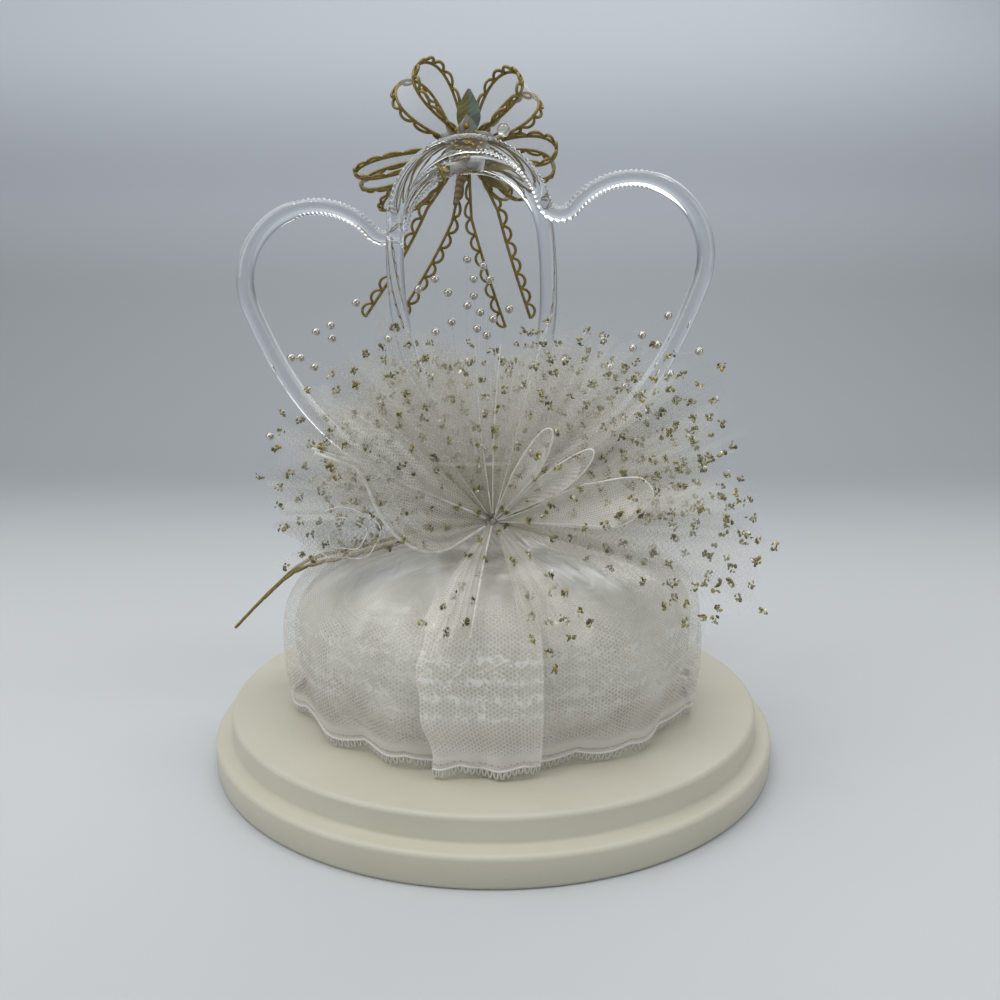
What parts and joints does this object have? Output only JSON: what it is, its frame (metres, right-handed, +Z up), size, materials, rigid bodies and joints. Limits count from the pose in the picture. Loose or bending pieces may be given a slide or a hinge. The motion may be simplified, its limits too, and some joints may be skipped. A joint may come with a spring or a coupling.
{
  "type": "wedding cake topper",
  "caption": "Wedding cake topper of clear twin hearts with a gold-edged bow, pearl sprays, glitter net pouf and lace skirt, standing loose on a stepped round display base.",
  "frame": {"origin": "centre of the display base's underside", "axes": "+Z up, +X to the right and -Y towards the front, where the net pouf and the lace's free end are"},
  "size_m": [0.172, 0.172, 0.206],
  "materials": {
    "ivory_paint": "matte ivory paint on a turned disc",
    "white_plastic": "satin white moulding",
    "clear_acrylic": "polished clear rod, notched over the lobes",
    "organza": "sheer white organza with a soft sheen",
    "lace": "white floral net lace with a picot edge",
    "glitter_net": "fine sheer net with gold and olive glitter",
    "white_thread": "wound white thread",
    "pearl": "pearlised beads on clear filament",
    "gold_wire": "dull gold craft wire",
    "gold_ribbon": "sheer ribbon with looped antique gold thread edges",
    "silk": "greyish white silk petals",
    "gold_glitter": "glittered gold stamens",
    "green_leaf_cloth": "dull green leaf cloth",
    "gold_leaf_cloth": "olive gold leaf cloth",
    "clear_bead": "glassy clear bead on a wire",
    "stem_tape": "brown floral tape"
  },
  "bodies": {
    "display_base": {"display_base": "ivory_paint"},
    "topper": {"back_ribbon_end": "gold_ribbon", "bead_pick_left": "clear_bead", "bead_pick_right": "clear_bead", "bow_knot": "gold_ribbon", "bow_loop_left": "gold_ribbon", "bow_loop_lower_left": "gold_ribbon", "bow_loop_lower_right": "gold_ribbon", "bow_loop_right": "gold_ribbon", "bow_loop_upper_left": "gold_ribbon", "bow_loop_upper_right": "gold_ribbon", "bow_tail_left": "gold_ribbon", "bow_tail_right": "gold_ribbon", "bow_wire": "gold_wire", "front_gather_tie": "white_thread", "gold_leaf": "gold_leaf_cloth", "gold_stamens": "gold_glitter", "green_leaf": "green_leaf_cloth", "heart_holder": "white_plastic", "heart_left": "clear_acrylic", "heart_right": "clear_acrylic", "lace_front_lap": "lace", "lace_skirt": "lace", "net_back_fan": "glitter_net", "net_front_left_fall": "glitter_net", "net_front_right_fall": "glitter_net", "net_left_lobe": "glitter_net", "net_left_wing": "glitter_net", "net_petal_inner": "glitter_net", "net_petal_middle": "glitter_net", "net_petal_outer": "glitter_net", "net_rear_left_lobe": "glitter_net", "net_rear_right_lobe": "glitter_net", "net_right_lobe": "glitter_net", "net_right_wing": "glitter_net", "organza_underskirt": "organza", "pearl_spray_inner_left": "pearl", "pearl_spray_inner_right": "pearl", "pearl_spray_left": "pearl", "pearl_spray_right": "pearl", "pedestal": "white_plastic", "rear_gather_tie": "white_thread", "silk_flower": "silk", "stem_binding": "stem_tape"}
  },
  "joints": [
    {"name": "topper_lift", "type": "slide", "parent": "display_base", "child": "topper", "axis": [0, 0, 1], "range_m": [0, 0.05]}
  ]
}
